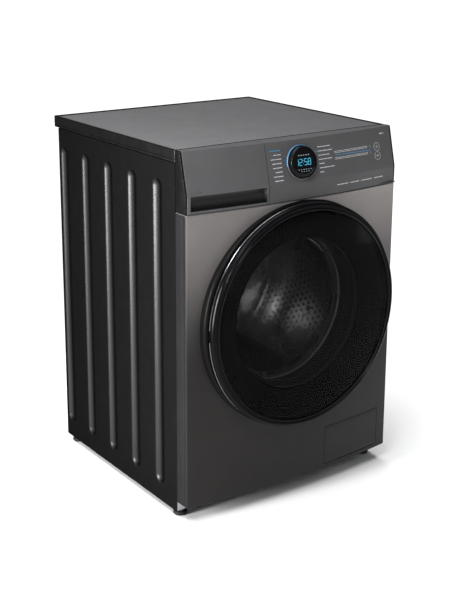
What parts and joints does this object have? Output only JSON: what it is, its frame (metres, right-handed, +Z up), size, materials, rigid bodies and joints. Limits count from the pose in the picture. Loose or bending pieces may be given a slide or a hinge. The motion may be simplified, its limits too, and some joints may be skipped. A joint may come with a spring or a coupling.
{
  "type": "front load washing machine",
  "caption": "Front load washing machine: suspended tub and drum behind a round glazed door, dispenser drawer, dial panel and filter flap.",
  "frame": {"origin": "floor level under the middle of the overall box", "axes": "+Z up, -Y out of the door, +X to the right of someone who faces the door"},
  "size_m": [0.595, 0.636, 0.85],
  "materials": {
    "cabinet_paint": "satin dark grey enamel",
    "front_paint": "satin titanium grey lacquer",
    "zinc_steel": "zinc-plated sheet",
    "top_moulding": "fine grained moulding",
    "top_surface": "light satin grey",
    "panel_plastic": "satin grey moulding",
    "drawer_plastic": "satin grey moulding",
    "dark_plastic": "dark grey moulding",
    "gloss_black": "piano black",
    "bright_trim": "bright ring",
    "display_black": "clear cover over a dark display",
    "board_green": "solder mask",
    "white_plastic": "moulded",
    "tray_plastic": "moulded, slightly translucent",
    "rubber_grey": "soft grey seal",
    "rubber_black": "moulded foot and hose",
    "rim_plastic": "dark blue-grey gloss ring",
    "smoked_glass": "smoked flat pane",
    "bowl_glass": "clear moulded bowl",
    "tub_plastic": "glass-filled moulding",
    "concrete": "cast ballast",
    "stainless": "polished stainless",
    "cast_metal": "as cast",
    "motor_metal": "satin"
  },
  "bodies": {
    "cabinet": {"side_panel_left": "cabinet_paint", "side_panel_right": "cabinet_paint", "rear_panel": "zinc_steel", "rear_service_cover": "zinc_steel", "case_screws": "zinc_steel", "base_frame": "zinc_steel", "front_panel": "front_paint", "top_frame": "top_moulding", "top_board": "top_surface", "control_carrier": "dark_plastic", "control_fascia": "panel_plastic", "dial_bezel": "bright_trim", "display_lens": "display_black", "display_board": "board_green", "dispenser_housing": "tray_plastic", "inlet_valve": "white_plastic", "fill_hose": "rubber_grey", "tub_boots": "rubber_black", "door_surround": "dark_plastic", "door_lock": "white_plastic", "hinge_bracket": "zinc_steel", "bellows": "rubber_grey", "pump_body": "white_plastic", "drain_pipe": "dark_plastic", "cord_gland": "dark_plastic", "transit_caps": "dark_plastic", "foot_lock_nuts": "zinc_steel", "damper_cylinders": "dark_plastic"},
    "dial": {"dial_knob": "gloss_black"},
    "power_button": {"power_button": "panel_plastic"},
    "start_button": {"start_button": "panel_plastic"},
    "drawer": {"drawer_front": "drawer_plastic", "drawer_tray": "tray_plastic"},
    "filter_cap": {"filter_cap": "dark_plastic"},
    "filter_flap": {"filter_flap": "front_paint"},
    "door": {"door_rim": "rim_plastic", "door_dish": "gloss_black", "door_front_glass": "smoked_glass", "door_back_frame": "dark_plastic", "door_bowl": "bowl_glass", "door_hook": "zinc_steel"},
    "tub": {"tub_rear": "tub_plastic", "tub_front": "tub_plastic", "counterweight_front": "concrete", "counterweight_top": "concrete", "motor": "motor_metal", "drive_belt": "rubber_black", "heater": "stainless", "bearings": "stainless", "damper_rods": "stainless", "suspension_springs": "stainless"},
    "drum": {"drum_shell": "stainless", "drum_spider": "cast_metal", "lifters": "dark_plastic", "drum_pulley": "cast_metal"},
    "motor_pulley": {"motor_pulley": "cast_metal"},
    "foot_front_left": {"foot_front_left": "rubber_black"},
    "foot_front_right": {"foot_front_right": "rubber_black"},
    "foot_back_left": {"foot_back_left": "rubber_black"},
    "foot_back_right": {"foot_back_right": "rubber_black"}
  },
  "joints": [
    {"name": "dial_turn", "type": "hinge", "parent": "cabinet", "child": "dial", "pos_m": [0, -0.27807, 0.799], "axis": [0, -0.9731, 0.2302], "continuous": true},
    {"name": "power_button_press", "type": "slide", "parent": "cabinet", "child": "power_button", "axis": [-0.1138, 0.9668, -0.2287], "range_m": [0, 0.0012], "stiffness_N_per_m": 600, "springref_m": -0.001},
    {"name": "start_button_press", "type": "slide", "parent": "cabinet", "child": "start_button", "axis": [-0.1138, 0.9668, -0.2287], "range_m": [0, 0.0012], "stiffness_N_per_m": 600, "springref_m": -0.001},
    {"name": "drawer_slide", "type": "slide", "parent": "cabinet", "child": "drawer", "axis": [0, -1, 0], "range_m": [0, 0.2]},
    {"name": "filter_turn", "type": "hinge", "parent": "cabinet", "child": "filter_cap", "pos_m": [0.175, -0.25, 0.1], "axis": [0, -1, 0], "range_deg": [0, 90]},
    {"name": "flap_hinge", "type": "hinge", "parent": "cabinet", "child": "filter_flap", "pos_m": [0.175, -0.27576, 0.059], "axis": [0.9966, 0.0826, 0], "range_deg": [0, 95]},
    {"name": "door_hinge", "type": "hinge", "parent": "cabinet", "child": "door", "pos_m": [-0.253, -0.306, 0.451], "axis": [0, 0, -1], "range_deg": [0, 115]},
    {"name": "tub_float", "type": "slide", "parent": "cabinet", "child": "tub", "axis": [0, 0, 1], "range_m": [-0.008, 0.008], "stiffness_N_per_m": 40000, "springref_m": 0.0077, "deforming": ["suspension_springs"]},
    {"name": "drum_spin", "type": "hinge", "parent": "tub", "child": "drum", "pos_m": [0, 0, 0.451], "axis": [0, -1, 0], "continuous": true},
    {"name": "motor_pulley_spin", "type": "hinge", "parent": "tub", "child": "motor_pulley", "pos_m": [-0.06, 0.258, 0.112], "axis": [0, -1, 0], "continuous": true},
    {"name": "foot_front_left_turn", "type": "hinge", "parent": "cabinet", "child": "foot_front_left", "pos_m": [-0.2775, -0.209, 0], "axis": [0, 0, 1], "continuous": true},
    {"name": "foot_front_right_turn", "type": "hinge", "parent": "cabinet", "child": "foot_front_right", "pos_m": [0.2775, -0.209, 0], "axis": [0, 0, 1], "continuous": true},
    {"name": "foot_back_left_turn", "type": "hinge", "parent": "cabinet", "child": "foot_back_left", "pos_m": [-0.2775, 0.271, 0], "axis": [0, 0, 1], "continuous": true},
    {"name": "foot_back_right_turn", "type": "hinge", "parent": "cabinet", "child": "foot_back_right", "pos_m": [0.2775, 0.271, 0], "axis": [0, 0, 1], "continuous": true}
  ],
  "couplings": [
    {"joint": "motor_pulley_spin", "follows": "drum_spin", "ratio": 14.402}
  ]
}
